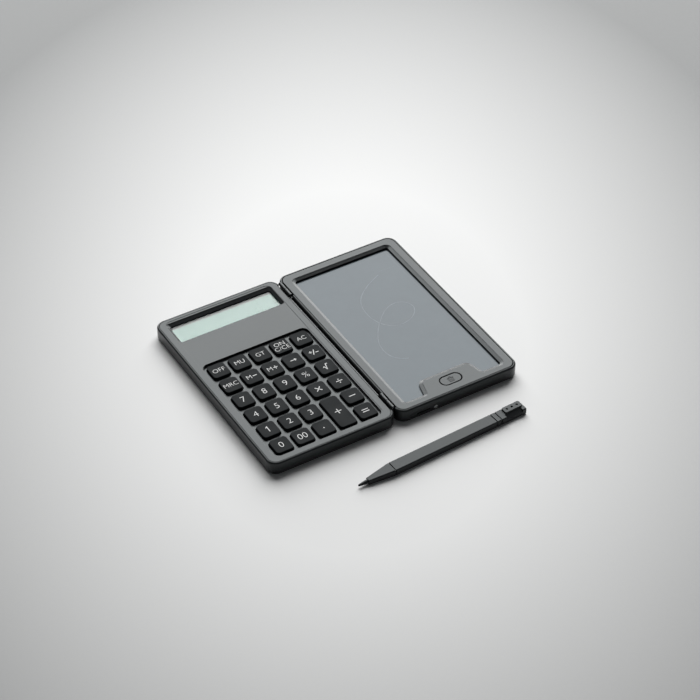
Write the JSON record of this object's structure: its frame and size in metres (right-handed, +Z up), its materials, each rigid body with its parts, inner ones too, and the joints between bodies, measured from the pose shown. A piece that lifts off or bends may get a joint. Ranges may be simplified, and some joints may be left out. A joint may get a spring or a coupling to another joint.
{
  "type": "folding pocket calculator with writing tablet",
  "caption": "Two hinged flat leaves, one a pocket calculator with display and keypad, the other a liquid-crystal writing tablet, with a loose stylus.",
  "frame": {"origin": "centre of the calculator leaf's flat underside, on the table", "axes": "+X across the leaves from the calculator towards the tablet, +Y along the leaves away from the user, +Z up out of the keypad"},
  "size_m": [0.1865, 0.1986, 0.011],
  "materials": {
    "black_shell": "fine satin ABS",
    "key_cap": "matt ABS",
    "nib": "hard black nib",
    "clear_lens": "clear acrylic",
    "green_display": "pale green liquid-crystal glass",
    "writing_film": "glossy pressure-sensitive film",
    "rubber": "silicone",
    "board": "green solder mask",
    "inner_plastic": "plain",
    "steel": "nickel plated",
    "screw_steel": "bright zinc"
  },
  "bodies": {
    "calculator": {"calculator_bottom_shell": "black_shell", "calculator_top_cover": "black_shell", "display_lens": "clear_lens", "display_glass": "green_display", "display_connector": "rubber", "calculator_board": "board", "keypad_membrane": "rubber", "calculator_cell": "steel", "calculator_contacts": "steel", "calculator_screws": "screw_steel"},
    "tablet": {"tablet_bottom_shell": "black_shell", "tablet_frame": "black_shell", "writing_film": "writing_film", "backing_plate": "inner_plastic", "tablet_board": "board", "erase_switch": "inner_plastic", "tablet_contacts": "steel", "tablet_screws": "screw_steel", "hinge_pins": "screw_steel"},
    "battery_cap": {"battery_cap": "black_shell"},
    "erase_button": {"erase_button": "black_shell"},
    "battery_tray": {"battery_tray": "black_shell", "tray_cell": "steel", "tray_screw": "screw_steel"},
    "stylus": {"stylus_nib": "nib", "stylus_nose": "black_shell", "stylus_barrel": "black_shell", "stylus_tail": "black_shell"},
    "key_off": {"key_off": "key_cap"},
    "key_mark_up": {"key_mark_up": "key_cap"},
    "key_grand_total": {"key_grand_total": "key_cap"},
    "key_on_clear": {"key_on_clear": "key_cap"},
    "key_all_clear": {"key_all_clear": "key_cap"},
    "key_memory_recall": {"key_memory_recall": "key_cap"},
    "key_memory_minus": {"key_memory_minus": "key_cap"},
    "key_memory_plus": {"key_memory_plus": "key_cap"},
    "key_backspace": {"key_backspace": "key_cap"},
    "key_sign": {"key_sign": "key_cap"},
    "key_7": {"key_7": "key_cap"},
    "key_8": {"key_8": "key_cap"},
    "key_9": {"key_9": "key_cap"},
    "key_percent": {"key_percent": "key_cap"},
    "key_root": {"key_root": "key_cap"},
    "key_4": {"key_4": "key_cap"},
    "key_5": {"key_5": "key_cap"},
    "key_6": {"key_6": "key_cap"},
    "key_times": {"key_times": "key_cap"},
    "key_divide": {"key_divide": "key_cap"},
    "key_1": {"key_1": "key_cap"},
    "key_2": {"key_2": "key_cap"},
    "key_3": {"key_3": "key_cap"},
    "key_plus": {"key_plus": "key_cap"},
    "key_minus": {"key_minus": "key_cap"},
    "key_0": {"key_0": "key_cap"},
    "key_00": {"key_00": "key_cap"},
    "key_point": {"key_point": "key_cap"},
    "key_equals": {"key_equals": "key_cap"}
  },
  "joints": [
    {"name": "leaf_hinge", "type": "hinge", "parent": "calculator", "child": "tablet", "pos_m": [0.047, 0, 0.00975], "axis": [0, -1, 0], "range_deg": [0, 180]},
    {"name": "battery_cap_turn", "type": "hinge", "parent": "calculator", "child": "battery_cap", "pos_m": [0, 0.0395, 0], "axis": [0, 0, 1], "range_deg": [0, 60]},
    {"name": "erase_press", "type": "slide", "parent": "tablet", "child": "erase_button", "axis": [0, 0, -1], "range_m": [0, 0.0005], "stiffness_N_per_m": 900, "springref_m": -0.0005},
    {"name": "battery_tray_slide", "type": "slide", "parent": "tablet", "child": "battery_tray", "axis": [0, -1, 0], "range_m": [0, 0.022]},
    {"name": "stylus_lift", "type": "slide", "parent": "calculator", "child": "stylus", "axis": [0, 0, 1], "range_m": [0, 0.1]},
    {"name": "press_off", "type": "slide", "parent": "calculator", "child": "key_off", "axis": [0, 0, -1], "range_m": [0, 0.0008], "stiffness_N_per_m": 600, "springref_m": -0.0005},
    {"name": "press_mark_up", "type": "slide", "parent": "calculator", "child": "key_mark_up", "axis": [0, 0, -1], "range_m": [0, 0.0008], "stiffness_N_per_m": 600, "springref_m": -0.0005},
    {"name": "press_grand_total", "type": "slide", "parent": "calculator", "child": "key_grand_total", "axis": [0, 0, -1], "range_m": [0, 0.0008], "stiffness_N_per_m": 600, "springref_m": -0.0005},
    {"name": "press_on_clear", "type": "slide", "parent": "calculator", "child": "key_on_clear", "axis": [0, 0, -1], "range_m": [0, 0.0008], "stiffness_N_per_m": 600, "springref_m": -0.0005},
    {"name": "press_all_clear", "type": "slide", "parent": "calculator", "child": "key_all_clear", "axis": [0, 0, -1], "range_m": [0, 0.0008], "stiffness_N_per_m": 600, "springref_m": -0.0005},
    {"name": "press_memory_recall", "type": "slide", "parent": "calculator", "child": "key_memory_recall", "axis": [0, 0, -1], "range_m": [0, 0.0008], "stiffness_N_per_m": 600, "springref_m": -0.0005},
    {"name": "press_memory_minus", "type": "slide", "parent": "calculator", "child": "key_memory_minus", "axis": [0, 0, -1], "range_m": [0, 0.0008], "stiffness_N_per_m": 600, "springref_m": -0.0005},
    {"name": "press_memory_plus", "type": "slide", "parent": "calculator", "child": "key_memory_plus", "axis": [0, 0, -1], "range_m": [0, 0.0008], "stiffness_N_per_m": 600, "springref_m": -0.0005},
    {"name": "press_backspace", "type": "slide", "parent": "calculator", "child": "key_backspace", "axis": [0, 0, -1], "range_m": [0, 0.0008], "stiffness_N_per_m": 600, "springref_m": -0.0005},
    {"name": "press_sign", "type": "slide", "parent": "calculator", "child": "key_sign", "axis": [0, 0, -1], "range_m": [0, 0.0008], "stiffness_N_per_m": 600, "springref_m": -0.0005},
    {"name": "press_7", "type": "slide", "parent": "calculator", "child": "key_7", "axis": [0, 0, -1], "range_m": [0, 0.0008], "stiffness_N_per_m": 600, "springref_m": -0.0005},
    {"name": "press_8", "type": "slide", "parent": "calculator", "child": "key_8", "axis": [0, 0, -1], "range_m": [0, 0.0008], "stiffness_N_per_m": 600, "springref_m": -0.0005},
    {"name": "press_9", "type": "slide", "parent": "calculator", "child": "key_9", "axis": [0, 0, -1], "range_m": [0, 0.0008], "stiffness_N_per_m": 600, "springref_m": -0.0005},
    {"name": "press_percent", "type": "slide", "parent": "calculator", "child": "key_percent", "axis": [0, 0, -1], "range_m": [0, 0.0008], "stiffness_N_per_m": 600, "springref_m": -0.0005},
    {"name": "press_root", "type": "slide", "parent": "calculator", "child": "key_root", "axis": [0, 0, -1], "range_m": [0, 0.0008], "stiffness_N_per_m": 600, "springref_m": -0.0005},
    {"name": "press_4", "type": "slide", "parent": "calculator", "child": "key_4", "axis": [0, 0, -1], "range_m": [0, 0.0008], "stiffness_N_per_m": 600, "springref_m": -0.0005},
    {"name": "press_5", "type": "slide", "parent": "calculator", "child": "key_5", "axis": [0, 0, -1], "range_m": [0, 0.0008], "stiffness_N_per_m": 600, "springref_m": -0.0005},
    {"name": "press_6", "type": "slide", "parent": "calculator", "child": "key_6", "axis": [0, 0, -1], "range_m": [0, 0.0008], "stiffness_N_per_m": 600, "springref_m": -0.0005},
    {"name": "press_times", "type": "slide", "parent": "calculator", "child": "key_times", "axis": [0, 0, -1], "range_m": [0, 0.0008], "stiffness_N_per_m": 600, "springref_m": -0.0005},
    {"name": "press_divide", "type": "slide", "parent": "calculator", "child": "key_divide", "axis": [0, 0, -1], "range_m": [0, 0.0008], "stiffness_N_per_m": 600, "springref_m": -0.0005},
    {"name": "press_1", "type": "slide", "parent": "calculator", "child": "key_1", "axis": [0, 0, -1], "range_m": [0, 0.0008], "stiffness_N_per_m": 600, "springref_m": -0.0005},
    {"name": "press_2", "type": "slide", "parent": "calculator", "child": "key_2", "axis": [0, 0, -1], "range_m": [0, 0.0008], "stiffness_N_per_m": 600, "springref_m": -0.0005},
    {"name": "press_3", "type": "slide", "parent": "calculator", "child": "key_3", "axis": [0, 0, -1], "range_m": [0, 0.0008], "stiffness_N_per_m": 600, "springref_m": -0.0005},
    {"name": "press_plus", "type": "slide", "parent": "calculator", "child": "key_plus", "axis": [0, 0, -1], "range_m": [0, 0.0008], "stiffness_N_per_m": 600, "springref_m": -0.0005},
    {"name": "press_minus", "type": "slide", "parent": "calculator", "child": "key_minus", "axis": [0, 0, -1], "range_m": [0, 0.0008], "stiffness_N_per_m": 600, "springref_m": -0.0005},
    {"name": "press_0", "type": "slide", "parent": "calculator", "child": "key_0", "axis": [0, 0, -1], "range_m": [0, 0.0008], "stiffness_N_per_m": 600, "springref_m": -0.0005},
    {"name": "press_00", "type": "slide", "parent": "calculator", "child": "key_00", "axis": [0, 0, -1], "range_m": [0, 0.0008], "stiffness_N_per_m": 600, "springref_m": -0.0005},
    {"name": "press_point", "type": "slide", "parent": "calculator", "child": "key_point", "axis": [0, 0, -1], "range_m": [0, 0.0008], "stiffness_N_per_m": 600, "springref_m": -0.0005},
    {"name": "press_equals", "type": "slide", "parent": "calculator", "child": "key_equals", "axis": [0, 0, -1], "range_m": [0, 0.0008], "stiffness_N_per_m": 600, "springref_m": -0.0005}
  ]
}
